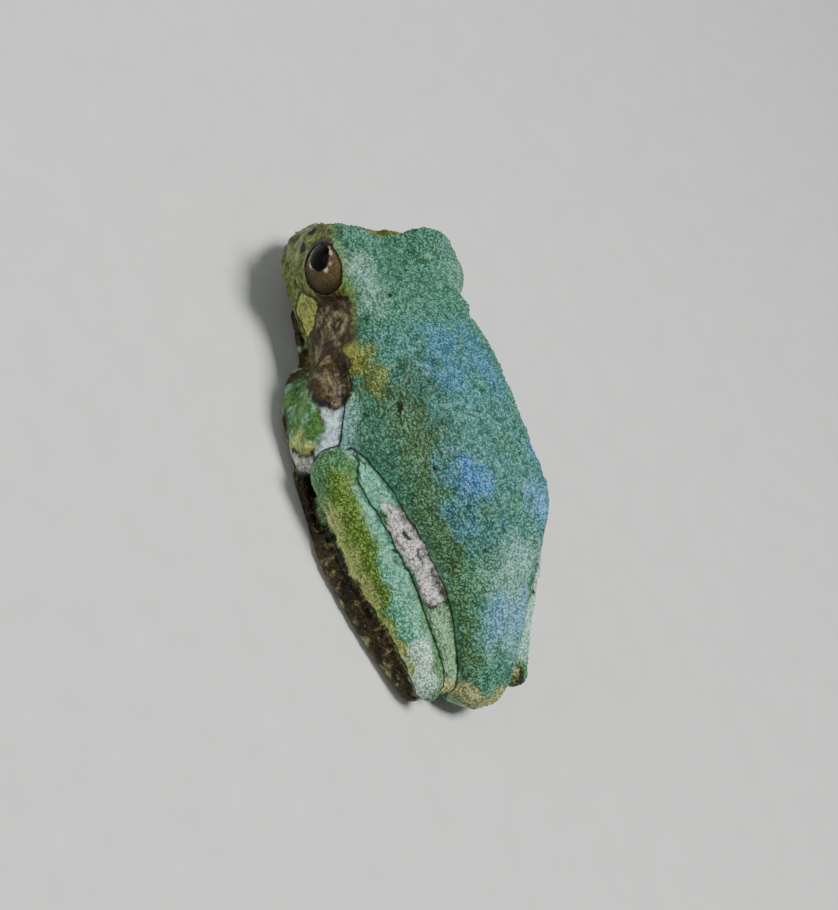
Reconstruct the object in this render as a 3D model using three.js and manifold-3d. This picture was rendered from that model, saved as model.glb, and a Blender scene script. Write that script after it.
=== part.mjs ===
// A tree frog at rest, life size, belly and chin down, with its arms folded and its
// hind legs closed along the flanks. Lengths are millimetres. The frog faces -Y, its
// left side is +X, up is +Z and the floor is z = 0. Places along the body are given as
// the distance forward of the vent, and places across it as the distance outward from
// the midline.
import * as THREE from 'three';
import Module from 'manifold-3d';
import { mergeVertices } from 'three/addons/utils/BufferGeometryUtils.js';

const wasm = await Module();
wasm.setup();

// Driving dimensions
const snoutForward = 32.95;
const ventY = 16.6;
const gap = 0.3;
const coarseGap = 0.38; // a coarse cutter's facets run inside its surface
const neckForward = 22.2;
const jawHingeForward = 24.4;
const mouthHeight = { hinge: 2.3, snout: 2.6 };
const eye = {
  radius: 1.95,
  place: [4.4, 27.75, 6.75],
  facing: [0.97, 0.05, -0.02],
  opening: { long: 3.6, high: 2.9 },
};
const tympanum = { radius: 1.1, thickness: 1.0, forward: 24.0, height: 6.4 };

// Sections of head and trunk: forward of the vent, half width, height of the widest
// level, top, underside (below the floor where the belly lies flat) and squareness.
const sections = [
  [-0.6, 2.1, 2.35, 3.45, 0.6, 2.0],
  [2.0, 3.1, 2.9, 5.4, 0.3, 2.1],
  [6.0, 4.5, 4.0, 8.25, -0.2, 2.2],
  [9.5, 5.8, 4.6, 10.2, -0.5, 2.3],
  [13.0, 6.7, 4.9, 10.6, -0.5, 2.4],
  [17.0, 7.0, 4.9, 10.7, -0.5, 2.4],
  [20.5, 6.4, 4.9, 10.15, 0.4, 2.5],
  [23.5, 5.8, 4.6, 9.7, 1.4, 2.7],
  [26.0, 5.6, 3.8, 9.1, 1.4, 2.5],
  [28.9, 5.1, 2.8, 7.35, 1.4, 2.0],
  [31.05, 4.2, 2.9, 6.1, 1.4, 1.95],
  [32.95, 3.4, 3.1, 4.7, 1.6, 1.9],
];
const ventCap = 1.8;
const snoutCap = 2.2;
const snoutBluntness = 2.6;
const undersideSquareness = 2.6;

// Rounded masses on both sides of the back: sacral bump, shoulder and eye with its lids
const masses = [
  { centre: [2.6, 10.9, 9.6], radii: [1.5, 2.0, 1.2], blend: 1.6 },
  { centre: [4.2, 20.8, 6.0], radii: [2.2, 3.2, 2.7], blend: 1.8 },
  { centre: [4.3, 28.0, 6.5], radii: [2.35, 3.35, 2.9], blend: 0.8 },
];

// Pieces of arm and leg as chains of balls: outward, forward, height and radius
const chains = {
  hand: [[3.5, 23.4, 0.6, 0.6], [2.6, 24.4, 0.5, 0.65]],
  forearm: [[7.3, 17.0, 1.75, 1.15], [6.7, 20.2, 1.3, 1.2], [5.1, 22.3, 1.05, 0.95], [3.9, 23.1, 0.8, 0.75]],
  upper_arm: [[6.1, 21.3, 4.5, 1.4], [6.9, 19.6, 3.6, 1.5], [7.2, 17.2, 2.5, 1.25]],
  foot: [[7.5, 9.5, 0.8, 0.85], [7.6, 11.6, 0.75, 0.8]],
  tarsus: [[4.6, 1.7, 1.0, 0.95], [6.2, 5.4, 0.85, 0.9], [7.2, 8.8, 0.8, 0.85]],
  shank: [
    [7.5, 15.2, 3.25, 1.65], [6.8, 11.8, 3.1, 1.75], [6.25, 9.3, 3.0, 1.8],
    [5.5, 6.8, 2.7, 1.6], [4.7, 3.8, 2.3, 1.3], [4.5, 1.6, 2.01, 1.15],
  ],
  thigh: [
    [3.2, 2.0, 2.0, 1.35], [3.8, 6.0, 3.45, 1.8], [4.8, 9.5, 4.1, 1.95],
    [6.1, 12.4, 3.95, 1.9], [7.15, 14.9, 3.6, 1.7],
  ],
};
const chainMesh = {
  hand: { sides: 8, steps: 1, caps: 2 },
  forearm: { sides: 12, steps: 4, caps: 3 },
  upper_arm: { sides: 12, steps: 3, caps: 3 },
  foot: { sides: 8, steps: 1, caps: 2 },
  tarsus: { sides: 10, steps: 3, caps: 3 },
  shank: { sides: 14, steps: 7, caps: 3 },
  thigh: { sides: 14, steps: 6, caps: 3 },
};
const coarseMesh = { sides: 8, steps: 4, caps: 2 };
const legPieces = ['foot', 'tarsus', 'shank', 'thigh'];

// Clearance left in head and trunk for the hand and the foot that lie under them
const rooms = {
  hand: [[4.0, 23.5, 0.4, 1.2], [2.4, 24.8, 0.4, 1.2], [1.0, 25.2, 0.4, 1.1]],
  foot: [[6.9, 9.0, 0.6, 1.25], [6.8, 12.0, 0.5, 1.25], [6.2, 15.0, 0.4, 1.25], [6.3, 18.4, 0.4, 1.1]],
};

// Fingers and toes: root, knuckle and tip on the floor
const digit = { radius: 0.36, height: 0.42, discRadius: 0.62, discHeight: 0.45 };
const digits = {
  hand: [
    [[2.4, 24.3], [1.5, 24.2], [0.75, 24.0]],
    [[2.4, 24.6], [1.5, 25.1], [0.75, 25.5]],
    [[2.6, 24.9], [1.8, 26.1], [1.0, 27.0]],
    [[2.9, 24.9], [2.4, 26.3], [2.0, 27.6]],
  ],
  foot: [
    [[6.9, 10.8], [6.4, 12.2], [5.7, 13.4]],
    [[7.1, 11.4], [6.6, 13.4], [5.9, 15.2]],
    [[7.4, 11.6], [7.0, 14.2], [6.2, 16.9]],
    [[7.6, 11.6], [7.3, 14.9], [6.7, 18.3]],
    [[7.8, 11.2], [7.7, 13.9], [7.3, 16.2]],
  ],
};

// The right leg is folded a little less tightly than the left: it lies further out and
// higher, more so towards the knee than at the heel.
const heelForward = 1.6;
const kneeForward = 15.2;
const footTop = 2;
const sides = {
  left: { sign: 1, heelOut: 0, heelUp: 0, kneeOut: 0, kneeUp: 0 },
  right: { sign: -1, heelOut: -0.1, heelUp: 0.15, kneeOut: 2.3, kneeUp: 0.9 },
};

const paints = {
  head: { color: 0x6f9f86, roughness: 0.45, metalness: 0 },
  trunk: { color: 0x6a9b8c, roughness: 0.45, metalness: 0 },
  lower_jaw: { color: 0xa9b08c, roughness: 0.5, metalness: 0 },
  eye: { color: 0x6b5230, roughness: 0.1, metalness: 0 },
  tympanum: { color: 0x8a7559, roughness: 0.5, metalness: 0 },
  hand: { color: 0x9a8f78, roughness: 0.55, metalness: 0 },
  forearm: { color: 0x8fae72, roughness: 0.5, metalness: 0 },
  upper_arm: { color: 0xb7c4b4, roughness: 0.5, metalness: 0 },
  foot: { color: 0x8b7b5f, roughness: 0.55, metalness: 0 },
  tarsus: { color: 0x8b7b5f, roughness: 0.55, metalness: 0 },
  shank: { color: 0x8fae72, roughness: 0.5, metalness: 0 },
  thigh: { color: 0x86b59c, roughness: 0.5, metalness: 0 },
};

function at(outward, forward, height) {
  return new THREE.Vector3(outward, ventY - forward, height);
}

// Smooth minimum of two distances, rounded over the blend length
function blendMin(a, b, blend) {
  const overlap = Math.max(blend - Math.abs(a - b), 0) / blend;
  return Math.min(a, b) - overlap * overlap * blend * 0.25;
}

// Cubic curve through one column of the section table
function sectionValue(column, forward) {
  const last = sections.length - 1;
  const place = THREE.MathUtils.clamp(forward, sections[0][0], sections[last][0]);
  let row = 0;
  while (row < last - 1 && place > sections[row + 1][0]) row += 1;
  const slopeAt = (index) => {
    const before = sections[Math.max(index - 1, 0)];
    const after = sections[Math.min(index + 1, last)];
    return (after[column] - before[column]) / (after[0] - before[0]);
  };
  const span = sections[row + 1][0] - sections[row][0];
  const t = (place - sections[row][0]) / span;
  const start = sections[row][column];
  const end = sections[row + 1][column];
  return (2 * t ** 3 - 3 * t ** 2 + 1) * start
    + (t ** 3 - 2 * t ** 2 + t) * span * slopeAt(row)
    + (3 * t ** 2 - 2 * t ** 3) * end
    + (t ** 3 - t ** 2) * span * slopeAt(row + 1);
}

// How far the sections have closed towards the vent and the snout, 1 along the body
function endClosure(forward) {
  const toVent = THREE.MathUtils.clamp((sections[0][0] + ventCap - forward) / ventCap, 0, 1);
  const toSnout = THREE.MathUtils.clamp((forward - snoutForward + snoutCap) / snoutCap, 0, 1);
  const ventClosure = Math.sqrt(1 - toVent ** 2);
  const snoutClosure = (1 - toSnout ** snoutBluntness) ** (1 / snoutBluntness);
  return Math.max(ventClosure * snoutClosure, 0.01);
}

function sectionDistance(point) {
  const forward = ventY - point.y;
  const closure = endClosure(forward);
  const width = sectionValue(1, forward) * closure;
  const level = sectionValue(2, forward);
  const above = point.z > level;
  const height = Math.abs(sectionValue(above ? 3 : 4, forward) - level) * closure;
  const power = above ? sectionValue(5, forward) : undersideSquareness;
  const across = Math.abs(point.x) / width;
  const upward = Math.abs(point.z - level) / height;
  const scaled = (across ** power + upward ** power) ** (1 / power);
  const beyond = Math.max(sections[0][0] - forward, forward - snoutForward, 0);
  return (scaled - 1) * Math.min(width, height) + beyond;
}

function ellipsoidDistance(point, centre, radii) {
  const x = (Math.abs(point.x) - centre[0]) / radii[0];
  const y = (ventY - point.y - centre[1]) / radii[1];
  const z = (point.z - centre[2]) / radii[2];
  return (Math.hypot(x, y, z) - 1) * Math.min(...radii);
}

function bodyDistance(point) {
  let distance = sectionDistance(point);
  for (const mass of masses) {
    distance = blendMin(distance, ellipsoidDistance(point, mass.centre, mass.radii), mass.blend);
  }
  return distance;
}

// Distance to a chain of balls joined by cones, as a function of the point
function chainField(chain) {
  const centres = chain.map((row) => at(...row.slice(0, 3)));
  const steps = centres.slice(1).map((centre, i) => centre.clone().sub(centres[i]));
  return (point) => steps.reduce((distance, along, i) => {
    const offset = point.clone().sub(centres[i]);
    const t = THREE.MathUtils.clamp(offset.dot(along) / along.lengthSq(), 0, 1);
    const radius = THREE.MathUtils.lerp(chain[i][3], chain[i + 1][3], t);
    const here = offset.addScaledVector(along, -t).length() - radius;
    return i === 0 ? here : blendMin(distance, here, 0.5);
  }, Infinity);
}

// The distance from a start to the surface along a ray, by halving the interval
function reachSurface(start, outward, distance, { level, reach, floor }) {
  let inside = 0;
  let outside = reach;
  for (let step = 0; step < 22; step += 1) {
    const middle = (inside + outside) / 2;
    const point = start.clone().addScaledVector(outward, middle);
    const sunk = floor && point.z < 0;
    if (!sunk && distance(point) < level) inside = middle;
    else outside = middle;
  }
  return inside;
}

// A closed mesh round a spine: the vertices of a capsule slide along the spine and
// move straight out until the distance function reaches the wanted level.
function wrap(spine, distance, { sides: around, steps, caps, level = 0, reach = 12, floor = true }) {
  const capsule = new THREE.CapsuleGeometry(1, steps, caps, around, steps);
  capsule.deleteAttribute('normal');
  capsule.deleteAttribute('uv');
  const geometry = mergeVertices(capsule);
  const places = geometry.getAttribute('position');
  const vertex = new THREE.Vector3();
  const upright = new THREE.Vector3(0, 0, 1);
  for (let i = 0; i < places.count; i += 1) {
    vertex.fromBufferAttribute(places, i);
    const along = THREE.MathUtils.clamp(vertex.y, -steps / 2, steps / 2);
    const start = spine.getPoint(along / steps + 0.5);
    const tangent = spine.getTangent(along / steps + 0.5);
    const side = new THREE.Vector3().crossVectors(tangent, upright).normalize();
    const up = new THREE.Vector3().crossVectors(side, tangent);
    const outward = side.multiplyScalar(vertex.x)
      .addScaledVector(tangent, vertex.y - along)
      .addScaledVector(up, vertex.z)
      .normalize();
    const found = start.clone().addScaledVector(
      outward,
      reachSurface(start, outward, distance, { level, reach, floor }),
    );
    const height = floor && found.z < 1e-4 ? 0 : found.z;
    places.setXYZ(i, found.x, found.y, height);
  }
  return geometry;
}

// A solid for cutting and joining, on the side of the body that it belongs to
function solid(geometry, sign = 1) {
  const bare = geometry.clone();
  bare.deleteAttribute('normal');
  bare.deleteAttribute('uv');
  const merged = mergeVertices(bare, 1e-4);
  const corners = new Uint32Array(merged.index.array);
  if (sign < 0) {
    merged.scale(-1, 1, 1);
    corners.reverse();
  }
  const vertProperties = new Float32Array(merged.getAttribute('position').array);
  return new wasm.Manifold(new wasm.Mesh({ numProp: 3, vertProperties, triVerts: corners }));
}

function largestPiece(shape) {
  return shape.decompose().reduce((best, piece) => (piece.volume() > best.volume() ? piece : best));
}

function subtractAll(shape, cutters) {
  return largestPiece(cutters.reduce((rest, cutter) => rest.subtract(cutter), shape));
}

function chainSpine(chain) {
  const points = chain.map((row) => at(...row.slice(0, 3)));
  return points.length > 2 ? new THREE.CatmullRomCurve3(points) : new THREE.LineCurve3(...points);
}

// A leg point of the side, moved out and up in step with its distance from the heel;
// the foot stays on the floor
function opened(row, side) {
  const share = Math.max(row[1] - heelForward, 0) / (kneeForward - heelForward);
  const moved = [...row];
  moved[0] += THREE.MathUtils.lerp(side.heelOut, side.kneeOut, share);
  if (row[2] > footTop) moved[2] += THREE.MathUtils.lerp(side.heelUp, side.kneeUp, share);
  return moved;
}

function posed(rows, name, side) {
  return legPieces.includes(name) ? rows.map((row) => opened(row, side)) : rows;
}

function chainSolid(name, side) {
  const chain = posed(chains[name], name, side);
  const shape = wrap(chainSpine(chain), chainField(chain), { ...chainMesh[name], reach: 4 });
  return solid(shape, side.sign);
}

// A coarser and larger copy that cuts the neighbours clear of a piece
function swollenSolid(name, side) {
  const isRoom = name in rooms;
  const chain = posed(isRoom ? rooms[name] : chains[name], name, side);
  const level = isRoom ? 0 : coarseGap;
  const options = { ...coarseMesh, level, reach: 4, floor: false };
  return solid(wrap(chainSpine(chain), chainField(chain), options), side.sign);
}

// One finger or toe: bones lying on the floor and a flattened disc at the tip
function digitSolid(points, side) {
  const chain = points.map(([outward, forward]) => [outward, forward, digit.height, digit.radius]);
  const tip = at(...points.at(-1), digit.discHeight * 0.6);
  const bones = chainField(chain);
  const distance = (point) => {
    const offset = point.clone().sub(tip);
    const flattened = Math.hypot(offset.x, offset.y, (offset.z * digit.discRadius) / digit.discHeight);
    return blendMin(bones(point), flattened - digit.discRadius, 0.15);
  };
  return solid(wrap(chainSpine(chain), distance, { sides: 7, steps: 3, caps: 2, reach: 2 }), side.sign);
}

function pawSolid(name, side) {
  return digits[name].reduce(
    (shape, points) => shape.add(digitSolid(posed(points, name, side), side)),
    chainSolid(name, side),
  );
}

// Places the +Y axis of a shape along a direction, at a point on the given side
function turned(geometry, centre, axis) {
  const turn = new THREE.Quaternion().setFromUnitVectors(new THREE.Vector3(0, 1, 0), axis);
  return geometry.applyQuaternion(turn).translate(centre.x, centre.y, centre.z);
}

function eyeSolid(side, extra = 0) {
  const sphere = new THREE.SphereGeometry(eye.radius + extra, 12, 8);
  const axis = at(...eye.facing).sub(at(0, 0, 0)).normalize();
  return solid(turned(sphere, at(...eye.place), axis), side.sign);
}

// The opening between the lids: an oval shaft along the eye's axis
function lidOpening(side) {
  const shaft = new THREE.CylinderGeometry(0.5, 0.5, eye.radius * 2, 16);
  shaft.scale(eye.opening.long, 1, eye.opening.high);
  shaft.translate(0, eye.radius, 0);
  const axis = at(...eye.facing).sub(at(0, 0, 0)).normalize();
  const ahead = new THREE.Vector3(0, -1, 0).projectOnPlane(axis).normalize();
  const upward = new THREE.Vector3().crossVectors(ahead, axis);
  shaft.applyMatrix4(new THREE.Matrix4().makeBasis(ahead, axis, upward));
  const centre = at(...eye.place);
  return solid(shaft.translate(centre.x, centre.y, centre.z), side.sign);
}

// The ear drum is a lens set in the side of the head, level with the skin
function tympanumSolid(side, extra = 0) {
  const inner = at(0, tympanum.forward, tympanum.height);
  const outward = new THREE.Vector3(1, 0, 0);
  const options = { level: 0, reach: 12, floor: false };
  const centre = inner.addScaledVector(outward, reachSurface(inner, outward, bodyDistance, options));
  const step = 0.05;
  const slope = (dx, dy, dz) => bodyDistance(centre.clone().add(new THREE.Vector3(dx, dy, dz)));
  const normal = new THREE.Vector3(
    slope(step, 0, 0) - slope(-step, 0, 0),
    slope(0, step, 0) - slope(0, -step, 0),
    slope(0, 0, step) - slope(0, 0, -step),
  ).normalize();
  const lens = new THREE.SphereGeometry(1, 12, 6);
  const radius = tympanum.radius + extra;
  lens.scale(radius, tympanum.thickness / 2 + extra, radius);
  const sunk = centre.addScaledVector(normal, -tympanum.thickness * 0.4);
  return solid(turned(lens, sunk, normal), side.sign);
}

function box(size, centre, tilt = 0) {
  const geometry = new THREE.BoxGeometry(...size).rotateX(tilt);
  return solid(geometry.translate(centre.x, centre.y, centre.z));
}

function wholeBody() {
  const along = [1.2, 10, 20, 25, 28, 30.4];
  const spine = new THREE.CatmullRomCurve3(
    along.map((forward) => at(0, forward, sectionValue(2, forward) + 0.6)),
  );
  return solid(wrap(spine, bodyDistance, { sides: 32, steps: 22, caps: 4, reach: 14 }));
}

// Head, lower jaw and trunk are parted from one body at the neck and along the mouth
function bodyPieces(cutters) {
  const whole = subtractAll(wholeBody(), cutters);
  const size = 4 * snoutForward;
  const ahead = box([size, size, size], at(0, neckForward + (gap + size) / 2, 0));
  const behind = box([size, size, size], at(0, neckForward - (gap + size) / 2, 0));
  const holes = Object.values(sides).flatMap((side) => [
    eyeSolid(side, gap),
    lidOpening(side),
    tympanumSolid(side, gap),
  ]);
  const front = subtractAll(whole.intersect(ahead), holes);
  const mouthLength = snoutForward - jawHingeForward;
  const mouthTilt = Math.atan2(mouthHeight.hinge - mouthHeight.snout, mouthLength);
  const below = at(0, snoutForward, mouthHeight.snout - size / 2);
  const room = box([size, 2 * (mouthLength + gap), size + gap], below, mouthTilt);
  const jaw = box([size, 2 * mouthLength, size - gap], below, mouthTilt);
  return {
    head: largestPiece(front.subtract(room)),
    lower_jaw: largestPiece(front.intersect(jaw)),
    trunk: largestPiece(whole.intersect(behind)),
  };
}

// Each piece of a limb is cut clear of the pieces that come before it in this order
function limbPieces(side) {
  const order = ['hand', 'foot', 'forearm', 'upper_arm', 'tarsus', 'shank', 'thigh'];
  const swollen = order.map((name) => swollenSolid(name, side));
  const shapes = order.map((name, rank) => {
    const whole = name in digits ? pawSolid(name, side) : chainSolid(name, side);
    return [name, subtractAll(whole, swollen.slice(0, rank))];
  });
  return { shapes: Object.fromEntries(shapes), swollen };
}

const group = new THREE.Group();

function addMesh(name, shape, paint) {
  const { vertProperties, triVerts } = shape.getMesh();
  const geometry = new THREE.BufferGeometry();
  geometry.setAttribute('position', new THREE.BufferAttribute(new Float32Array(vertProperties), 3));
  geometry.setIndex(new THREE.BufferAttribute(new Uint32Array(triVerts), 1));
  geometry.computeVertexNormals();
  const mesh = new THREE.Mesh(geometry, new THREE.MeshStandardMaterial(paint));
  mesh.name = name;
  group.add(mesh);
}

const limbs = Object.fromEntries(Object.entries(sides).map(([name, side]) => [name, limbPieces(side)]));
const body = bodyPieces(Object.values(limbs).flatMap((limb) => limb.swollen));
for (const [name, shape] of Object.entries(body)) addMesh(name, shape, paints[name]);
for (const [sideName, side] of Object.entries(sides)) {
  const shapes = { ...limbs[sideName].shapes, eye: eyeSolid(side), tympanum: tympanumSolid(side) };
  for (const [name, shape] of Object.entries(shapes)) {
    addMesh(`${name}_${sideName}`, shape, paints[name]);
  }
}

export default group;
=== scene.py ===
import bpy
import math
import numpy as np
from mathutils import Matrix, Vector
from mathutils.bvhtree import BVHTree
from mathutils.kdtree import KDTree


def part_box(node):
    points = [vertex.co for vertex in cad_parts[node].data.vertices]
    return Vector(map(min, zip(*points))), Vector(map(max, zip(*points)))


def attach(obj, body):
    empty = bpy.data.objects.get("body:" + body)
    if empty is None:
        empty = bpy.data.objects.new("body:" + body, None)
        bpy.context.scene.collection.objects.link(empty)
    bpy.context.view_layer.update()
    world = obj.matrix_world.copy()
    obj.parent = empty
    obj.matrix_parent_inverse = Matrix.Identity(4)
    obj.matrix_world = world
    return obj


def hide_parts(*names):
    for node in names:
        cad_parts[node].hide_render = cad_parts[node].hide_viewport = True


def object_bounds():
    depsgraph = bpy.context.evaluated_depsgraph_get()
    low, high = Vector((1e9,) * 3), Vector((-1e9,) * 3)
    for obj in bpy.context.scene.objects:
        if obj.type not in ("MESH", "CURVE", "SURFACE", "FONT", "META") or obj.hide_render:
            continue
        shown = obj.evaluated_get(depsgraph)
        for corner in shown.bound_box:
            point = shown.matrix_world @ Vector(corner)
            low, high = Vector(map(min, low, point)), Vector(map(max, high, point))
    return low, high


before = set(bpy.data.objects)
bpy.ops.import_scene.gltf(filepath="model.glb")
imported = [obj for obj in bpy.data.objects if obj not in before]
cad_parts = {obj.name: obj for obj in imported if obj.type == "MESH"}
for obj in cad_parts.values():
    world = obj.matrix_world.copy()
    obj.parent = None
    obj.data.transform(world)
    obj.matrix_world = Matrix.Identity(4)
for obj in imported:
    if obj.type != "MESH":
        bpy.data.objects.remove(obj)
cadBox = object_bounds()
mm = 0.001
sides = {"left": 1, "right": -1}
print("frame loaded")


def selectOnly(piece):
    bpy.ops.object.select_all(action="DESELECT")
    piece.select_set(True)
    bpy.context.view_layer.objects.active = piece


def applyModifier(piece, kind, **settings):
    modifier = piece.modifiers.new(kind.lower(), kind)
    for name, value in settings.items():
        setattr(modifier, name, value)
    selectOnly(piece)
    bpy.ops.object.modifier_apply(modifier=modifier.name)


def readPoints(piece):
    points = np.empty(len(piece.data.vertices) * 3)
    piece.data.vertices.foreach_get("co", points)
    return points.reshape(-1, 3)


def writePoints(piece, points):
    piece.data.vertices.foreach_set("co", points.ravel())
    piece.data.update()


def readNormals(piece):
    normals = np.empty(len(piece.data.vertices) * 3)
    piece.data.vertices.foreach_get("normal", normals)
    return normals.reshape(-1, 3)


def smoothStep(low, high, value):
    share = np.clip((value - low) / (high - low), 0, 1)
    return share * share * (3 - 2 * share)


def lengths(rows):
    return np.linalg.norm(rows, axis=1)


# A share that goes from 0 to the cover between two values, given as start, end and cover
def veil(stops, value):
    start, end, cover = stops
    return smoothStep(start, end, value) * cover


# A ridge of shares round one value, given as middle, width and cover
def ridge(form, value):
    middle, width, cover = form
    return np.exp(-((value - middle) / width) ** 2) * cover


# Box of a CAD node in millimetres, and a place given from its centre as outward, forward and up
def nodeBox(name):
    low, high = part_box(name)
    return np.array(low) / mm, np.array(high) / mm


def placeBy(name, side, offset):
    low, high = nodeBox(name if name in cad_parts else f"{name}_{side}")
    outward, forward, up = offset
    return (low + high) / 2 + np.array([outward * sides[side], -forward, up])


# Working copies are in millimetres and go back to metres when they are finished
def copyNode(name):
    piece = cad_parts[name].copy()
    piece.data = piece.data.copy()
    piece.parent = None
    piece.matrix_world = Matrix.Identity(4)
    piece.data.transform(Matrix.Scale(1 / mm, 4))
    bpy.context.collection.objects.link(piece)
    return piece


# Distance in millimetres from each point to a CAD node's surface, as far as the reach
def nodeDistance(name, points, reach=1.2):
    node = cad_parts[name]
    corners = [vertex.co / mm for vertex in node.data.vertices]
    tree = BVHTree.FromPolygons(corners, [tuple(face.vertices) for face in node.data.polygons])
    low, high = nodeBox(name)
    near = np.all((points > low - reach) & (points < high + reach), axis=1)
    distance = np.full(len(points), reach)
    for index in np.flatnonzero(near):
        found = tree.find_nearest(points[index], reach)
        if found[3] is not None:
            distance[index] = found[3]
    return distance


# Skin: one closed surface over head, jaw, trunk and limbs
limbNames = ("upper_arm", "forearm", "hand", "thigh", "shank", "tarsus", "foot", "tympanum")
fleshNames = ["head", "lower_jaw", "trunk"] + [f"{limb}_{side}" for limb in limbNames for side in sides]
skinForm = {
    "doubles": 0.003,
    "sharpAngle": 38,
    "roundLevels": 2,
    "voxel": 0.125,
    "closing": 0.26,
    "smoothRounds": 14,
    "pullIn": 0.6,
    "pushOut": -0.62,
    "seamRounds": 40,
    "seamReach": 1.1,
    "seamAboveArms": (1.5, 3.5),
    "softening": 0.5,
    "leastWeight": 0.01,
}


def roundedCopy(name):
    piece = copyNode(name)
    selectOnly(piece)
    bpy.ops.object.mode_set(mode="EDIT")
    bpy.ops.mesh.select_all(action="SELECT")
    bpy.ops.mesh.remove_doubles(threshold=skinForm["doubles"])
    bpy.ops.mesh.tris_convert_to_quads()
    bpy.ops.mesh.select_all(action="DESELECT")
    bpy.ops.mesh.select_mode(type="EDGE")
    bpy.ops.mesh.edges_select_sharp(sharpness=math.radians(skinForm["sharpAngle"]))
    bpy.ops.transform.edge_crease(value=1)
    bpy.ops.object.mode_set(mode="OBJECT")
    levels = skinForm["roundLevels"]
    applyModifier(piece, "SUBSURF", levels=levels, render_levels=levels)
    return piece


def joined(pieces):
    bpy.ops.object.select_all(action="DESELECT")
    for piece in pieces:
        piece.select_set(True)
    bpy.context.view_layer.objects.active = pieces[0]
    bpy.ops.object.join()
    return pieces[0]


def largestShell(piece):
    selectOnly(piece)
    bpy.ops.object.mode_set(mode="EDIT")
    bpy.ops.mesh.select_all(action="SELECT")
    bpy.ops.mesh.separate(type="LOOSE")
    bpy.ops.object.mode_set(mode="OBJECT")
    shells = sorted(bpy.context.selected_objects, key=lambda shell: len(shell.data.vertices))
    for shell in shells[:-1]:
        bpy.data.objects.remove(shell)
    return shells[-1]


# Smoothing that keeps the volume: a pull in and a push out
def smoothed(piece, rounds):
    for _ in range(rounds):
        applyModifier(piece, "SMOOTH", factor=skinForm["pullIn"], iterations=1)
        applyModifier(piece, "SMOOTH", factor=skinForm["pushOut"], iterations=1)


# A modifier that works where the weights allow it
def applyWhere(piece, weights, kind, **settings):
    group = piece.vertex_groups.new(name="share")
    for index in np.flatnonzero(weights > skinForm["leastWeight"]):
        group.add([int(index)], float(weights[index]), "REPLACE")
    applyModifier(piece, kind, vertex_group="share", **settings)
    piece.vertex_groups.clear()


# Smoothing that fills hollows
def softened(piece, weights, rounds):
    applyWhere(piece, weights, "SMOOTH", factor=skinForm["softening"], iterations=rounds)


def makeSkinBase():
    piece = joined([roundedCopy(name) for name in fleshNames])
    piece.data.materials.clear()
    closing = skinForm["closing"]
    applyModifier(piece, "DISPLACE", strength=closing, mid_level=0)
    applyModifier(piece, "REMESH", mode="VOXEL", voxel_size=skinForm["voxel"])
    piece = largestShell(piece)
    piece.name = "skin"
    applyModifier(piece, "DISPLACE", strength=-closing, mid_level=0)
    smoothed(piece, skinForm["smoothRounds"])
    points = readPoints(piece)
    seam = (nodeBox("head")[1][1] + nodeBox("trunk")[0][1]) / 2
    aboveArms = smoothStep(*skinForm["seamAboveArms"], points[:, 2])
    fromSeam = np.abs(points[:, 1] - seam) / skinForm["seamReach"]
    softened(piece, aboveArms * (1 - smoothStep(0.5, 1, fromSeam)), skinForm["seamRounds"])
    return piece


skin = makeSkinBase()
print("skin base", len(skin.data.vertices))


# Seams that are filled by rounds of smoothing, and creases between two neighbouring pieces. A
# crease fades out round its joint: at the front or rear end of the first piece, within the
# given reach.
filledSeams = [
    ("head", "trunk", 45),
    ("head", "tympanum", 60),
    ("head", "upper_arm", 70),
    ("upper_arm", "forearm", 160),
    ("forearm", "hand", 45),
    ("tarsus", "foot", 60),
]
creases = [
    ("thigh", "trunk", None, 0, 1.0),
    ("shank", "thigh", "front", 2.2, 1.0),
    ("shank", "trunk", "front", 2.2, 1.0),
    ("shank", "tarsus", "rear", 1.4, 0.6),
    ("shank", "foot", None, 0, 0.6),
    ("upper_arm", "trunk", "front", 2.0, 0.9),
    ("forearm", "trunk", None, 0, 0.8),
    ("upper_arm", "shank", None, 0, 0.8),
    ("forearm", "shank", None, 0, 0.8),
    ("head", "lower_jaw", None, 0, 0.6),
    ("hand", "lower_jaw", None, 0, 0.6),
    ("tarsus", "trunk", None, 0, 0.6),
    ("foot", "trunk", None, 0, 0.6),
]
relief = {
    "nearReach": 0.62,
    "fullyNear": 0.35,
    "jointFade": 0.7,
    "creaseDepth": 0.22,
    "foldHeight": 0.11,
    "foldSize": 1.7,
    "wrinkleHeight": 0.15,
    "wrinkleSize": 0.6,
    "foldStretch": 1.8,
    "foldedAbove": (0.1, 1),
    "aroundLids": (1.1, 1.9),
    "evenRounds": 2,
    "floorGap": 0.01,
    "triangles": 198000,
    "faceKept": 0.3,
    "thinning": 10,
}


def namesOf(limb):
    return [limb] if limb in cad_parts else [f"{limb}_{side}" for side in sides]


def sideOf(name):
    return name.rsplit("_", 1)[-1] if name.endswith(("_left", "_right")) else ""


def pairedNames(first, second):
    pairs = [(a, b) for a in namesOf(first) for b in namesOf(second)]
    return [(a, b) for a, b in pairs if sideOf(a) == sideOf(b) or not sideOf(a) or not sideOf(b)]


def bothNear(distances, first, second, reach):
    farther = np.maximum(distances[first], distances[second])
    return 1 - smoothStep(relief["fullyNear"] * reach, reach, farther)


def endOf(name, which):
    low, high = nodeBox(name)
    middle = (low + high) / 2
    middle[1] = low[1] if which == "front" else high[1]
    return middle


def allDistances(points):
    return {name: nodeDistance(name, points) for name in fleshNames}


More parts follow.
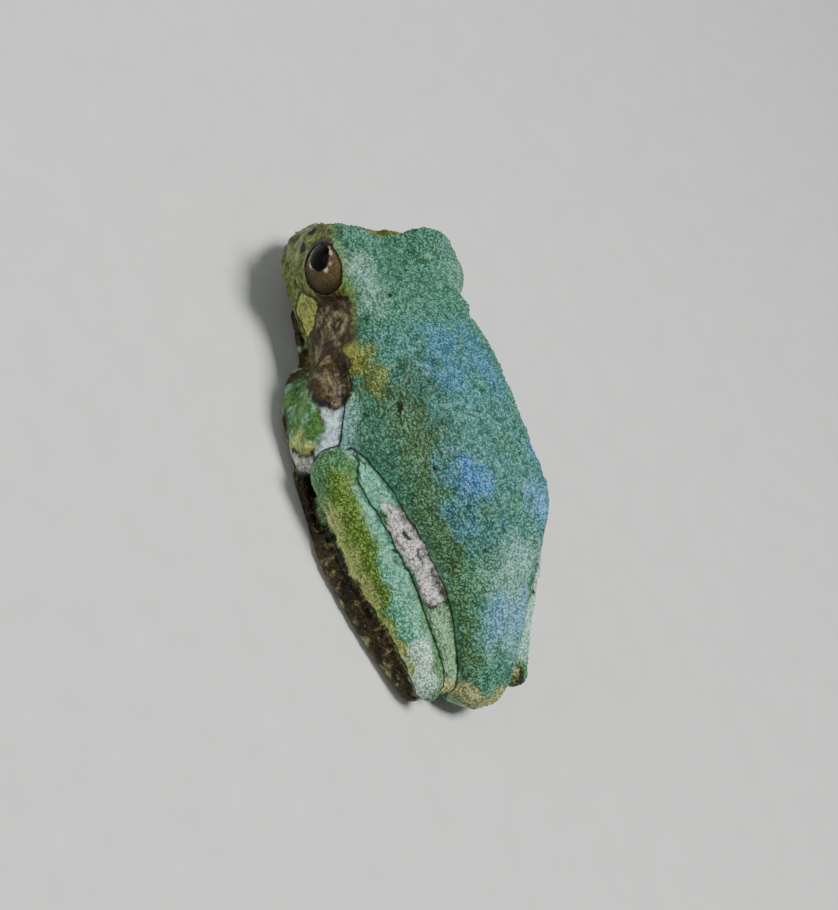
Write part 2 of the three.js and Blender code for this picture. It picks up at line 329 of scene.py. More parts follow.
def fillSeams(piece):
    distances = allDistances(readPoints(piece))
    reach = 2 * relief["nearReach"]
    for first, second, rounds in filledSeams:
        closeness = [bothNear(distances, a, b, reach) for a, b in pairedNames(first, second)]
        softened(piece, smoothStep(0, 0.5, np.maximum.reduce(closeness)), rounds)


# How close each point is to a crease, and how far it is to one side of the crease's middle
def creaseField(points, distances):
    near = np.zeros(len(points))
    across = np.ones(len(points))
    for first, second, end, fade, strength in creases:
        for a, b in pairedNames(first, second):
            closeness = bothNear(distances, a, b, relief["nearReach"]) * strength
            if end:
                fromJoint = lengths(points - endOf(a, end))
                closeness = closeness * smoothStep(relief["jointFade"] * fade, fade, fromJoint)
            stronger = closeness > near
            near[stronger] = closeness[stronger]
            across[stronger] = (distances[a] - distances[b])[stronger]
    return near, across


# Eyes bulge between lids that are drawn in to meet them
eyeForm = {
    "radius": 2.1,
    "seat": (0.34, -0.2, 0),
    "facing": (0.95, 0.22, 0),
    "openingLong": 1.78,
    "openingHigh": 1.22,
    "lidThickness": 0.13,
    "underLid": 0.08,
    "socketReach": (2.5, 3.0),
    "lidReach": (1.15, 1.85),
    "lidDepth": -0.44,
    "lidLimit": 3.7,
    "facingOut": 0.25,
    "leastFront": 0.05,
    "clearFrom": (1.1, 1.3),
    "clearDepth": 0.4,
    "clearance": 0.08,
    "groove": (1.5, 0.13, 0.07),
}


def eyeAxes(side):
    outward, forward, up = eyeForm["facing"]
    axis = np.array([outward * sides[side], -forward, up])
    axis /= np.linalg.norm(axis)
    ahead = np.array([0, -1, 0]) + axis * axis[1]
    ahead /= np.linalg.norm(ahead)
    upward = np.cross(axis, ahead) * -sides[side]
    return axis, ahead, upward


def eyeCentre(side):
    return placeBy("eye", side, eyeForm["seat"])


# How far round the eye's opening a point is: 1 at the opening's edge, and over 9 off the eye
def aroundEye(points, side):
    axis, ahead, upward = eyeAxes(side)
    offset = points - eyeCentre(side)
    along = (offset @ ahead) / eyeForm["openingLong"]
    high = (offset @ upward) / eyeForm["openingHigh"]
    return np.hypot(along, high) + 9 * (offset @ axis < eyeForm["leastFront"])


def shapeLids(points, normals):
    for side in sides:
        fromEye = points - eyeCentre(side)
        length = lengths(fromEye)
        near = (fromEye @ eyeAxes(side)[0] > eyeForm["lidDepth"]) & (length < eyeForm["lidLimit"])
        around = aroundEye(points, side)
        outward = fromEye / length[:, None]
        facing = eyeForm["facingOut"]
        share = smoothStep(-facing, facing, np.sum(normals * outward, axis=1))
        share = np.maximum(share, smoothStep(*eyeForm["socketReach"], length))
        kept = share * smoothStep(*eyeForm["lidReach"], around)
        skinRadius = eyeForm["radius"] - eyeForm["underLid"]
        skinRadius = skinRadius + share * (eyeForm["lidThickness"] + eyeForm["underLid"])
        skinRadius = skinRadius * (1 - kept) + length * kept
        skinRadius -= ridge(eyeForm["groove"], around) * share
        moved = eyeCentre(side) + outward * skinRadius[:, None]
        points[near] = moved[near]
    return points


# Keeps the skin outside the lids clear of the eyes
def clearEyes(points):
    start, end = eyeForm["clearFrom"]
    radius = eyeForm["radius"]
    for side in sides:
        fromEye = points - eyeCentre(side)
        length = lengths(fromEye)
        around = aroundEye(points, side)
        least = radius + eyeForm["clearance"] * smoothStep(start, end, around)
        raised = (around > start) & (length > radius - eyeForm["clearDepth"]) & (length < least)
        points[raised] += (fromEye * (least / length - 1)[:, None])[raised]
    return points


# Depth inside a chain of round spots, in millimetres, below 0 outside it
def chainDepth(points, chain):
    depth = np.full(len(points), -9.0)
    for start, end in zip(chain[:-1], chain[1:]):
        along = end[:3] - start[:3]
        share = np.clip((points - start[:3]) @ along / max(along @ along, 1e-6), 0, 1)
        middle = start[:3] + share[:, None] * along
        radius = start[3] + share * (end[3] - start[3])
        depth = np.maximum(depth, radius - lengths(points - middle))
    return depth


def chainBy(anchor, side, stops):
    rows = [np.append(placeBy(anchor, side, stop[:3]), stop[3]) for stop in stops]
    return rows if len(rows) > 1 else rows * 2


# A colon and a side after the anchor's name keep a form or a mark to that side
def bothSides(points, anchor, stops):
    piece, _, only = anchor.partition(":")
    depths = [chainDepth(points, chainBy(piece, side, stops)) for side in sides if only in ("", side)]
    return np.maximum.reduce(depths)


# Small forms: the piece they are placed from, how high they stand, how soft they are, and
# their stops as outward, forward, up and radius
headForms = {
    "foldOverEar": ("tympanum", 0.16, 0.5, [
        (0.6, 2.4, 1.2, 0.3), (0, 1.2, 1.8, 0.35), (0.2, -0.6, 1.7, 0.35), (0.9, -2.2, 0.5, 0.4)]),
    "snoutRidge": ("eye", 0.12, 0.5, [
        (0.7, 2.1, 0.7, 0.3), (-0.4, 3.3, -0.5, 0.3), (-1.7, 4.2, -1.7, 0.25)]),
    "nostrilRim": ("eye", 0.1, 0.25, [(-2.8, 4.15, -1.9, 0.32)]),
    "nostril": ("eye", -0.3, 0.14, [(-2.75, 4.25, -1.85, 0.14)]),
    "browTop": ("eye:right", 0.34, 0.8, [(-1.5, 2.2, 1.4, 0.4), (-0.5, 1.6, 2.2, 0.5)]),
    "browSide": ("eye:right", -0.08, 0.7, [
        (0.5, 0.7, 2.2, 0.5), (0.6, -0.2, 2.2, 0.6), (0.3, -1.2, 2.1, 0.4)]),
    "farShoulder": ("trunk:right", 0.42, 0.6, [(3.2, 14.2, 3.5, 0.3), (3.3, 13.4, 3.8, 0.4)]),
    "armFold": ("upper_arm", -0.12, 0.15, [
        (-0.6, 3.2, -0.9, 0.05), (0.8, 2.2, -0.1, 0.06), (1.2, 1.3, 0.4, 0.04)]),
}
formEdge = 0.6
earForm = {
    "middle": (0.3, 0.2, -0.3),
    "ring": (1.1, 0.15, 0.12),
    "drum": (0, 0.7, 0.1),
}


def fromEar(points, side):
    return lengths(points - placeBy("tympanum", side, earForm["middle"]))


def earDistance(points):
    return np.minimum(*[fromEar(points, side) for side in sides])


def headRelief(points):
    height = np.zeros(len(points))
    for anchor, amount, softness, stops in headForms.values():
        height += amount * smoothStep(-softness, formEdge * softness, bothSides(points, anchor, stops))
    for side in sides:
        apart = fromEar(points, side)
        height += ridge(earForm["ring"], apart)
        height -= ridge(earForm["drum"], apart)
    return height


# Granules: seeds spread evenly over the skin, each with a low dome
granules = {
    "cell": 0.34,
    "draw": 5,
    "evening": 1,
    "bend": 0.14,
    "bendSize": 0.26,
    "height": 0.105,
    "domeEdge": (0.15, 0.9),
    "domeMiddle": 0.6,
    "leastPoints": 2,
    "toneTurn": 12.9898,
    "toneScale": 437.585,
}
# Share lost at creases and on the face; elsewhere what is left and where the granules come back
granuleLoss = {
    "crease": (0.6, 0.25, 1),
    "face": 0.55,
    "lids": (0.1, 1.1, 1.45),
    "ear": (0.2, 1.1, 1.9),
    "arms": (0.5, 0.1, 0.6),
    "under": (0.25, -0.6, 0.1),
    "floor": (0.05, 0.6),
}


def nearestSeeds(points, seeds):
    tree = KDTree(len(seeds))
    for index, seed in enumerate(seeds):
        tree.insert(seed, index)
    tree.balance()
    found = [tree.find_n(point, 2) for point in points]
    owner = np.array([pair[0][1] for pair in found])
    first = np.array([pair[0][2] for pair in found])
    second = np.array([pair[1][2] for pair in found])
    return owner, first, second


def spreadSeeds(points):
    cells = np.floor(points / granules["cell"]).astype(int)
    drawn = np.random.default_rng(granules["draw"]).random(len(points))
    order = np.lexsort((drawn, cells[:, 2], cells[:, 1], cells[:, 0]))
    ordered = cells[order]
    isFirst = np.append(True, np.any(ordered[1:] != ordered[:-1], axis=1))
    seeds = points[order][isFirst]
    for _ in range(granules["evening"]):
        owner = nearestSeeds(points, seeds)[0]
        counts = np.bincount(owner, minlength=len(seeds))
        sums = [np.bincount(owner, points[:, axis], len(seeds)) for axis in range(3)]
        seeds = (np.stack(sums, axis=1) / np.maximum(counts, 1)[:, None])[counts > granules["leastPoints"]]
    return seeds


def domeField(points, seeds):
    owner, first, second = nearestSeeds(bent(points, granules["bend"], granules["bendSize"]), seeds)
    dome = 1 - smoothStep(*granules["domeEdge"], first / np.maximum(second, 1e-6))
    tone = np.modf(np.abs(np.sin(owner * granules["toneTurn"]) * granules["toneScale"]))[0]
    return dome, tone


waveSet = {"count": 16, "rate": (1.6, 4.2), "gain": 1.4, "bendDraws": (11, 12, 13)}


# Soft random field from crossing waves, about -0.5 to 0.5, with lumps of the given size
def noiseField(points, size, seed=0):
    count = waveSet["count"]
    draw = np.random.default_rng(seed)
    directions = draw.normal(size=(count, 3))
    directions *= (draw.uniform(*waveSet["rate"], count) / lengths(directions))[:, None]
    waves = np.sin((points / np.array(size)) @ directions.T + draw.uniform(0, 2 * math.pi, count))
    return waveSet["gain"] * waves.mean(axis=1)


def bent(points, amount, size=0.7):
    moves = [noiseField(points, size, seed) for seed in waveSet["bendDraws"]]
    return points + amount * 2 * np.stack(moves, axis=1)


faceForm = {
    "browRise": 0.7,
    "browSlope": 0.5,
    "browEnd": 1.0,
    "browDrop": 0.6,
    "dropFrom": (1.8, 4.0),
    "reach": 0.9,
    "edge": 0.35,
}


# The side of the face below the brow, which is smoother and browner than the crown
def faceShare(points, distances):
    eye = placeBy("eye", "left", (0, 0, 0))
    beside = np.minimum(np.abs(points[:, 0]) - eye[0], faceForm["browEnd"])
    brow = eye[2] + faceForm["browRise"] + faceForm["browSlope"] * beside
    brow -= faceForm["browDrop"] * smoothStep(*faceForm["dropFrom"], points[:, 1] - eye[1])
    onHead = np.minimum(distances["head"], distances["lower_jaw"]) < faceForm["reach"]
    return onHead * (1 - smoothStep(-faceForm["edge"], faceForm["edge"], points[:, 2] - brow))


# A share that rises from the given rest to 1 between two values
def regained(place, value):
    rest, start, end = granuleLoss[place]
    return rest + (1 - rest) * smoothStep(start, end, value)


armPieces = ("upper_arm", "forearm", "hand")


def granuleAmount(points, normals, distances, near):
    loss, start, end = granuleLoss["crease"]
    amount = 1 - loss * smoothStep(start, end, near)
    amount *= 1 - granuleLoss["face"] * faceShare(points, distances)
    for side in sides:
        amount *= regained("lids", aroundEye(points, side))
    amount *= regained("ear", earDistance(points))
    for limb in armPieces:
        for name in namesOf(limb):
            amount *= regained("arms", distances[name])
    amount *= regained("under", normals[:, 2])
    return amount * smoothStep(*granuleLoss["floor"], points[:, 2])


def sculptSkin(piece):
    fillSeams(piece)
    points = readPoints(piece)
    distances = allDistances(points)
    near = creaseField(points, distances)[0]
    height = headRelief(points) - near * relief["creaseDepth"]
    normals = readNormals(piece)
    points += normals * height[:, None]
    writePoints(piece, shapeLids(points, normals))
    smoothed(piece, relief["evenRounds"])
    points = readPoints(piece)
    size = relief["foldSize"]
    folds = relief["foldHeight"] * noiseField(points, (size, relief["foldStretch"] * size, size))
    folds += relief["wrinkleHeight"] * noiseField(points, relief["wrinkleSize"], 1)
    folds *= smoothStep(*relief["foldedAbove"], points[:, 2])
    for side in sides:
        folds *= smoothStep(*relief["aroundLids"], aroundEye(points, side))
    points += readNormals(piece) * folds[:, None]
    writePoints(piece, points)
    seeds = spreadSeeds(points)
    normals = readNormals(piece)
    dome = domeField(points, seeds)[0]
    height = granules["height"] * granuleAmount(points, normals, distances, near)
    points = clearEyes(points + normals * ((dome - granules["domeMiddle"]) * height)[:, None])
    low, high = np.array(cadBox[0]) / mm, np.array(cadBox[1]) / mm
    writePoints(piece, np.clip(points, low + relief["floorGap"], high - relief["floorGap"]))
    thinSkin(piece, faceShare(points, distances))
    return seeds


# Thins the skin everywhere but on the face, where small marks need all its points
def thinSkin(piece, kept):
    share = relief["triangles"] / (2 * len(piece.data.polygons))
    weights = (kept < relief["faceKept"]).astype(float)
    applyWhere(piece, weights, "DECIMATE", ratio=share, vertex_group_factor=relief["thinning"])


seeds = sculptSkin(skin)
print("skin sculpted", len(seeds), "granules", len(skin.data.polygons), "faces")


# Skin colours in even light, as red, green and blue out of 255
tints = {
    "back": (92, 142, 118),
    "pit": (48, 84, 58),
    # Painted reflections of the sky on the wet back: cyan on skin that faces up, and blue and pale sky
    # patches
    "skySheenCyan": (92, 146, 146),
    "blue": (82, 138, 198),
    "paleSkyReflection": (118, 172, 220),
    "sideGreen": (94, 138, 94),
    "olive": (88, 104, 30),
    "ochre": (150, 148, 72),
    "moss": (126, 140, 76),
    "face": (88, 98, 48),
    "faceLight": (124, 136, 78),
    "brown": (60, 46, 22),
    "brownLight": (122, 109, 83),
    "brownDark": (30, 20, 10),
    "nearBlack": (10, 8, 8),
    "yellow": (140, 146, 80),
    "paleYellow": (160, 164, 70),
    "stripe": (110, 140, 92),
    "lilac": (176, 192, 200),
    "sage": (80, 120, 62),
    "cream": (178, 186, 114),
    "mint": (124, 190, 166),
    "mintPale": (176, 222, 210),
    "leaf": (108, 136, 54),
    "rearGreen": (146, 182, 144),
    "pinkCream": (216, 208, 208),
    "purple": (58, 48, 66),
    "heel": (212, 240, 222),
    "tan": (188, 186, 128),
    # The underside's own pale colour, darkened to tan as painted shade
    "belly": (150, 140, 110),
}
tintForce = 1.06
leastTint = 0.001


# Tints are drawn away from grey, as light on a rough skin washes them out
def tintOf(name):
    share = np.array(tints[name]) / 255
    linear = np.where(share <= 0.04045, share / 12.92, ((share + 0.055) / 1.055) ** 2.4)
    grey = linear @ np.array([0.21, 0.72, 0.07])
    return np.maximum(grey + (linear - grey) * tintForce, leastTint)


# Marks in the order they are painted: tint, the piece they are placed from (on one side only
# after a colon), how much they cover, how soft their edge is, how far noise bends it, and
# stops as outward, forward, up and radius
marks = [
    # Blue and pale sky patches on the back: painted reflections of the sky
    ("blue", "trunk", 0.35, 1.6, 0.8, [(4.3, 2, 4.2, 0.8), (3.8, -1.6, 3.7, 0.8)]),
    ("blue", "trunk:left", 0.95, 0.8, 0.6, [(3.6, 0.9, 4.7, 0.8)]),
    ("paleSkyReflection", "trunk:left", 0.9, 0.8, 0.6, [(-2, -0.9, 4.8, 0.8)]),
    ("blue", "trunk:right", 0.8, 0.9, 0.6, [(3.8, 2.6, 4.6, 0.8)]),
    ("blue", "trunk", 0.42, 1.3, 0.8, [(1.6, 10.4, 4.5, 0.9), (2.2, 7.6, 4.7, 0.9)]),
    ("mintPale", "trunk", 0.55, 1.8, 0.8, [(0.6, -4, 3, 0.9), (0.3, -7.6, 0.6, 0.9)]),
    ("pit", "trunk:left", 0.6, 1.3, 0.8, [
        (4.7, 8.6, 3.9, 0.9), (4.8, 6.7, 3.9, 1.1), (5, 4.7, 3.8, 0.8)]),
    # A painted reflection of the sky at the rear of the back
    ("paleSkyReflection", "trunk", 0.6, 1, 0.6, [(1.1, -6.4, 1.5, 0.7), (1, -7.6, 0.6, 0.7)]),
    ("olive", "trunk", 0.45, 1, 0.7, [
        (6.2, 7.8, 2.5, 0.9), (5.9, 6.3, 2.9, 1), (5.7, 4.3, 3, 0.9), (5.6, 0.7, 2.3, 0.8),
        (5, -1.7, 1.7, 0.8), (4.3, -3.7, 1.1, 0.8), (3.3, -6.4, 0, 0.7), (2.6, -8.6, -1.2, 0.6)]),
    ("moss", "trunk", 0.9, 0.6, 0.5, [(6.3, 10.6, 2, 0.7), (6.3, 9.3, 2, 0.9), (6.2, 8, 2.2, 0.6)]),
    ("ochre", "trunk", 0.95, 0.25, 0.35, [
        (6.5, 11.2, 1.2, 0.5), (6.6, 10.4, 1.3, 0.6), (6.4, 9.9, 1.6, 0.4)]),
    ("mintPale", "trunk", 0.85, 0.5, 0.3, [
        (6.9, 8.2, 0, 0.5), (6.9, 6.9, -0.6, 0.6), (7, 5.8, -0.8, 0.5)]),
    ("mintPale", "eye", 0.35, 0.9, 0.5, [
        (0.5, -0.5, 2.2, 0.4), (0.4, -2.3, 1.6, 0.5), (0.3, -3.7, 1.7, 0.4)]),
    ("stripe", "eye", 0.75, 0.2, 0.12, [
        (0.9, 2.3, 1.2, 0.12), (1.3, 1.6, 1.4, 0.18), (1.75, 0.5, 1.75, 0.22), (1.75, -0.9, 1.6, 0.26),
        (1.3, -1.9, 1.1, 0.3), (1, -2.5, 0.8, 0.3)]),
    ("mint", "thigh", 0.95, 0.4, 0.3, [(2.4, 6.2, 1.7, 0.7), (1.9, 4.9, 2.2, 0.8), (1.7, 4, 2.2, 0.8)]),
    ("rearGreen", "thigh", 0.95, 0.3, 0.3, [
        (-0.7, -3.8, 1.1, 0.9), (-1.1, -5.2, 0.6, 0.9), (-1.5, -6.9, -0.5, 0.8)]),
    ("leaf", "shank", 0.95, 0.8, 0.4, [
        (2.5, 5.9, 1.1, 0.6), (2.3, 3.4, 0.6, 1.2), (1.8, 1, 0.4, 1.2), (0.9, -1.7, 0.4, 1),
        (0, -4, 0, 0.7)]),
    ("mint", "shank", 0.9, 0.5, 0.4, [
        (1.6, 4.9, 2, 0.3), (0.9, 2.7, 2.1, 0.5), (0.5, 0.1, 1.8, 0.8), (0.2, -2.2, 1.3, 0.9),
        (-0.5, -4.7, 0.7, 0.8)]),
    ("cream", "shank", 0.95, 0.4, 0.5, [
        (2.9, 5, -0.1, 0.5), (2.2, 2.6, -0.7, 0.75), (1.7, 0.6, -1, 0.85), (1.2, -1.9, -1, 0.85),
        (0.4, -4.2, -1, 0.85), (-0.4, -6, -1.2, 0.8)]),
    ("brown", "shank", 0.9, 0.15, 0.6, [
        (2.4, 5, -1.5, 0.4), (2, 2.4, -1.9, 0.6), (1.6, 0.4, -2.1, 0.7), (1.2, -1.9, -2.3, 0.8),
        (0.5, -4.2, -2.3, 0.8), (-0.4, -6.4, -2.2, 0.6)]),
    ("heel", "shank", 0.95, 0.6, 0.4, [
        (-0.6, -5.6, 0.4, 0.8), (-0.8, -6.7, 0, 0.9), (-0.7, -7.4, -0.7, 0.6)]),
    ("mintPale", "thigh:right", 0.95, 0.5, 0.3, [
        (-0.4, -1, 1.7, 0.9), (-0.9, -3.6, 1.2, 1), (-1.5, -6.5, 0, 0.9)]),
    ("mintPale", "shank:right", 0.95, 0.5, 0.3, [
        (0.6, -0.6, 1, 1.2), (-0.6, -3.6, 0.9, 1.3), (-2, -6, 0.4, 1.1)]),
    ("brownDark", "shank:right", 0.95, 0.15, 0.2, [(-3.3, -7.5, -0.8, 0.45), (-2.7, -7.9, -1.2, 0.4)]),
    ("tan", "trunk", 0.9, 0.5, 0.4, [
        (3.5, -10.1, -2.5, 0.6), (2, -10.6, -2.8, 0.7), (0, -10.9, -2.8, 0.7)]),
    ("tan", "thigh", 0.8, 0.4, 0.3, [(-1.6, -7.6, -0.9, 0.5)]),
    ("sage", "upper_arm", 1, 0.3, 0.4, [
        (1.5, 1.3, -1, 0.7), (1.5, 0, -1.3, 1), (1.7, -1.1, -1.3, 1)]),
    ("sage", "forearm", 1, 0.3, 0.4, [
        (0.9, 1.6, 0.6, 1.2), (2.1, -0.5, 1, 1.2), (2.6, -1.6, 1.2, 0.9)]),
    ("lilac", "upper_arm", 1, 0.2, 0.4, [
        (0.9, 0.8, 0.8, 0.45), (0.9, -0.4, 0.6, 0.7), (0.9, -1, 0.5, 0.7), (0.8, -2, 0.1, 0.7),
        (1.3, -2.6, -0.5, 0.6), (1.5, -2.4, -1.2, 0.3)]),
    ("cream", "upper_arm", 0.95, 0.25, 0.4, [
        (1.5, -1, -2.7, 0.4), (1.6, -1.7, -2.1, 0.45), (1.6, -2.1, -1.5, 0.35)]),
    ("pinkCream", "upper_arm", 0.7, 0.2, 0.2, [
        (1.5, -2.3, -3, 0.4), (1.6, -2.9, -2.5, 0.4), (1.9, -3.2, -1.6, 0.4)]),
    ("nearBlack", "upper_arm", 1, 0.06, 0.2, [
        (1.5, -1.7, -2.9, 0.12), (1.7, -2.2, -2.4, 0.13), (1.6, -2.5, -1.5, 0.13),
        (1.9, -3, -1.2, 0.14)]),
    ("purple", "upper_arm", 1, 0.12, 0.2, [(1.5, -3, -0.4, 0.24), (1.8, -3.4, -0.2, 0.24)]),
]
# The brown mask runs from the eye over the ear to the arm, and a yellow spot lies below the eye
mask = {
    "bend": 0.3,
    "stops": [(1.7, -1.4, -0.2, 0.8), (1.3, -2.3, -0.6, 1.05), (1.3, -3.1, -0.9, 1.45),
        (1.7, -4.1, -1.6, 1.55), (2.1, -5.2, -2, 1.35), (2.6, -6.5, -1.6, 1.3),
        (2.9, -7.5, -1.7, 1.2), (3, -7.9, -1.8, 0.9)],
}
cheekSpot = {
    "bend": 0.08,
    "stops": [(1.15, -1.6, -2.7, 1.08), (1.2, -2.2, -2.95, 0.68), (1.2, -3, -3.35, 0.12)],
}
# The pale patch on the thigh, with dark spots and a dark bar behind it
patch = {
    "bend": 0.25,
    "spotBend": 0.15,
    "barBend": 0.2,
    "stops": [(1.7, 3.2, 2.2, 0.5), (1.2, 2, 2.3, 0.85), (0.7, 0.7, 2.3, 1), (0.1, -0.9, 2.1, 0.95),
        (-0.5, -2.3, 1.6, 0.75)],
    "spots": [[(1.7, 3.1, 2.1, 0.18)], [(1.1, 1.6, 2.3, 0.24), (0.8, 1.2, 2.2, 0.16)],
        [(0.5, 0.6, 2.2, 0.12), (0.3, -0.4, 2.2, 0.16)], [(0, -1.2, 2.1, 0.2)],
        [(0.9, 0.2, 1.9, 0.15)], [(-0.6, -1.7, 2, 0.14)]],
    "bar": [(-0.1, -2.7, 1.2, 0.12), (-0.4, -3.1, 1.4, 0.15), (-0.9, -2.9, 1.8, 0.13)],
}
# Small black spots, and painted shade inside each nostril
spotBend = 0.12
spotsAndNostrilShade = [
    ("trunk", [(5.9, 6.7, 3, 0.16), (6, 6.1, 2.8, 0.1)]),
    ("trunk", [(5.2, 2.3, 3.4, 0.17)]),
    ("trunk", [(3.5, 14.1, 3.4, 0.15)]),
    ("eye", [(1.15, 0.4, -3, 0.2)]),
    ("eye", [(1.5, -0.1, -2.2, 0.13), (1.5, -0.6, -2.4, 0.2)]),
    ("eye", [(1.4, -0.4, -2.9, 0.2)]),
    ("eye", [(0.84, 3, -0.6, 0.4)]),
    # Painted shade inside the nostril
    ("eye", [(-2.8, 4.05, -1.95, 0.28)]),
    ("eye", [(1.1, 2.3, -1.35, 0.17), (1.15, 2.05, -1.4, 0.24)]),
    ("upper_arm", [(1.5, 0.2, 0.1, 0.14), (1.3, 0.1, 0.4, 0.2), (0.8, 0, 0.7, 0.13)]),
]
# How the coat's tints fade in, by noise, depth in a mark or slope of the skin: start, end, cover
coat = {
    # The sky's painted reflection on skin that faces up
    "skySheen": (0.55, 0.97, 1),
    "sideGreen": (0.1, 0.7, 0.5),
    "pit": (0.1, 0.45, 0.6),
    "legGaps": (0.15, 0.5, 0.3),
    "limbLight": (0.1, 0.35, 0.7),
    "limbDark": (0.05, 0.3, 0.8),
    "limbCream": (0.36, 0.5, 0.5),
    "armPale": (0.15, 0.4, 0.35),
    "armDark": (0.15, 0.4, 0.3),
    "faceLight": (0, 0.3, 0.5),
    "faceBrown": (0.1, 0.35, 0.5),
    "behindMouth": (0, 1.5, 0.8),
    "mask": (-0.06, 0.06, 1),
    "maskInside": (0.05, 0.25, 1),
    "maskLight": (0.02, 0.22, 0.75),
    "maskDark": (0.08, 0.3, 0.75),
    "cheek": (-0.05, 0.05, 1),
    "cheekRim": (-0.05, 0.03, 0.7),
    "cheekMiddle": (0.08, 0.2, 1),
    "patch": (-0.1, 0.15, 1),
    "patchInside": (0, 0.2, 0.5),
    "patchBrown": (0.2, 0.35, 1),
    "patchBreaks": (0, 0.3, 0.8),
    "patchSpot": (-0.06, 0.05, 1),
    "lids": (0.9, 1.05, 0.85),
    "lidsEnd": (1.12, 1.22, 1),
    "lidsInside": (1.0, 1.07, 1),
    "spot": (-0.05, 0.04, 1),
    "belly": (0.5, 0.9, 1),
}
# Lines on the coat: the middle and width of each, and its cover
outlines = {
    "mask": (0.03, 0.12, 0.8),
    "cheek": (-0.12, 0.13, 0.85),
    "patch": (0, 0.1, 1),
    "earEdge": (1.08, 0.09, 0.85),
    "earRing": (0.78, 0.2, 0.85),
    "earMiddle": (0.36, 0.12, 0.85),
}
# How much of the sky's painted reflection lies on the head and on the trunk, and where it grows behind the
# nape
backForm = {"slopeNoise": 0.3, "head": 0.25, "trunk": 0.6, "napeStart": -2, "napeEnd": 1}
mouthEnd = (0, -2.6, 0)
earWobble = 0.06
lidsDark = 0.9
# Noise fields of the pattern: size of the lumps, seed, and the same of the finer share in each
fields = {
    "mottle": (0.42, 3, 0.5, 0.2, 4),
    "streak": ((0.32, 1.3, 0.5), 5, 0.4, 0.25, 6),
    "broad": (2.6, 7, 0.5, 1.1, 8),
}


def shareOf(distances, limbs, blend=0.25):
    names = [name for limb in limbs for name in namesOf(limb)]
    own = np.minimum.reduce([distances[name] for name in names])
    others = np.minimum.reduce([distances[name] for name in fleshNames if name not in names])
    return smoothStep(-blend, blend, others - own)


def ownPieces(anchor):
    limb = anchor.partition(":")[0]
    if limb in armPieces:
        return armPieces
    return (limb,) if limb in ("thigh", "shank", "tarsus", "foot") else ()


def patternField(points, name):
    size, seed, share, fineSize, fineSeed = fields[name]
    return noiseField(points, size, seed) + share * noiseField(points, fineSize, fineSeed)


class Paint:
    def __init__(self, count, name):
        self.colour = np.tile(tintOf(name), (count, 1))

    def lay(self, name, cover):
        cover = np.clip(cover, 0, 1)[:, None]
        self.colour = self.colour * (1 - cover) + tintOf(name) * cover

    def fade(self, name, place, value, share=1):
        self.lay(name, share * veil(coat[place], value))

    def line(self, name, place, value):
        self.lay(name, ridge(outlines[place], value))

    def keep(self, piece):
        colour = piece.data.color_attributes.new(name="tint", type="FLOAT_COLOR", domain="POINT")
        rgba = np.column_stack([self.colour, np.ones(len(self.colour))])
        colour.data.foreach_set("color", rgba.ravel())


def paintLimbs(paint, distances, mottle, streak):
    for leg in ("thigh", "shank"):
        paint.lay("sideGreen", shareOf(distances, [leg]) * (1 - veil(coat["legGaps"], mottle)))
    for limbs in (armPieces, ("tarsus", "foot")):
        share = shareOf(distances, limbs)
        paint.lay("brown", share)
        paint.fade("brownLight", "limbLight", -mottle, share)
        paint.fade("brownDark", "limbDark", streak, share)
        paint.fade("cream", "limbCream", -mottle, share)


def paintFace(paint, points, distances, mottle):
    side = faceShare(points, distances)
    paint.lay("face", side)
    paint.fade("faceLight", "faceLight", mottle, side)
    paint.fade("brown", "faceBrown", -mottle, side)
    behind = points[:, 1] - placeBy("eye", "left", mouthEnd)[1]
    paint.fade("brown", "behindMouth", behind, side)


def paintMask(paint, points, streak, mottle):
    depth = bothSides(bent(points, mask["bend"]), "eye", mask["stops"])
    paint.fade("brown", "mask", depth)
    inside = veil(coat["maskInside"], depth)
    paint.fade("brownLight", "maskLight", streak, inside)
    paint.fade("brownDark", "maskDark", -mottle, inside)
    paint.line("brownDark", "mask", depth)
    apart = earDistance(points) + earWobble * mottle
    paint.line("brownDark", "earEdge", apart)
    paint.line("brownLight", "earRing", apart)
    paint.line("brownDark", "earMiddle", apart)


def paintCheekSpot(paint, points):
    depth = bothSides(bent(points, cheekSpot["bend"]), "eye", cheekSpot["stops"])
    paint.line("nearBlack", "cheek", depth)
    paint.fade("yellow", "cheek", depth)
    paint.lay("paleYellow", veil(coat["cheekRim"], depth) * (1 - veil(coat["cheekMiddle"], depth)))


def paintPatch(paint, points, distances, mottle):
    depth = bothSides(bent(points, patch["bend"]), "thigh", patch["stops"])
    within = shareOf(distances, ["thigh"])
    paint.fade("pinkCream", "patch", depth, within)
    paint.lay("purple", within * ridge(outlines["patch"], depth) * veil(coat["patchBreaks"], mottle))
    paint.lay("brown", within * veil(coat["patchInside"], depth) * veil(coat["patchBrown"], mottle))
    places = bent(points, patch["spotBend"])
    for stops in patch["spots"]:
        paint.lay("purple", veil(coat["patchSpot"], bothSides(places, "thigh", stops)))
    places = bent(points, patch["barBend"])
    paint.lay("nearBlack", veil(coat["patchSpot"], bothSides(places, "thigh", patch["bar"])))


def paintGround(paint, points, normals, mottle):
    broad = patternField(points, "broad")
    nape = nodeBox("head")[1][1]
    behindNeck = smoothStep(nape + backForm["napeStart"], nape + backForm["napeEnd"], points[:, 1])
    # Painted reflection of the sky, in cyan, on skin that faces up
    skySheen = veil(coat["skySheen"], normals[:, 2] + backForm["slopeNoise"] * broad)
    paint.lay("skySheenCyan", skySheen * (backForm["head"] + backForm["trunk"] * behindNeck))
    paint.fade("sideGreen", "sideGreen", -broad)
    paint.fade("pit", "pit", mottle)


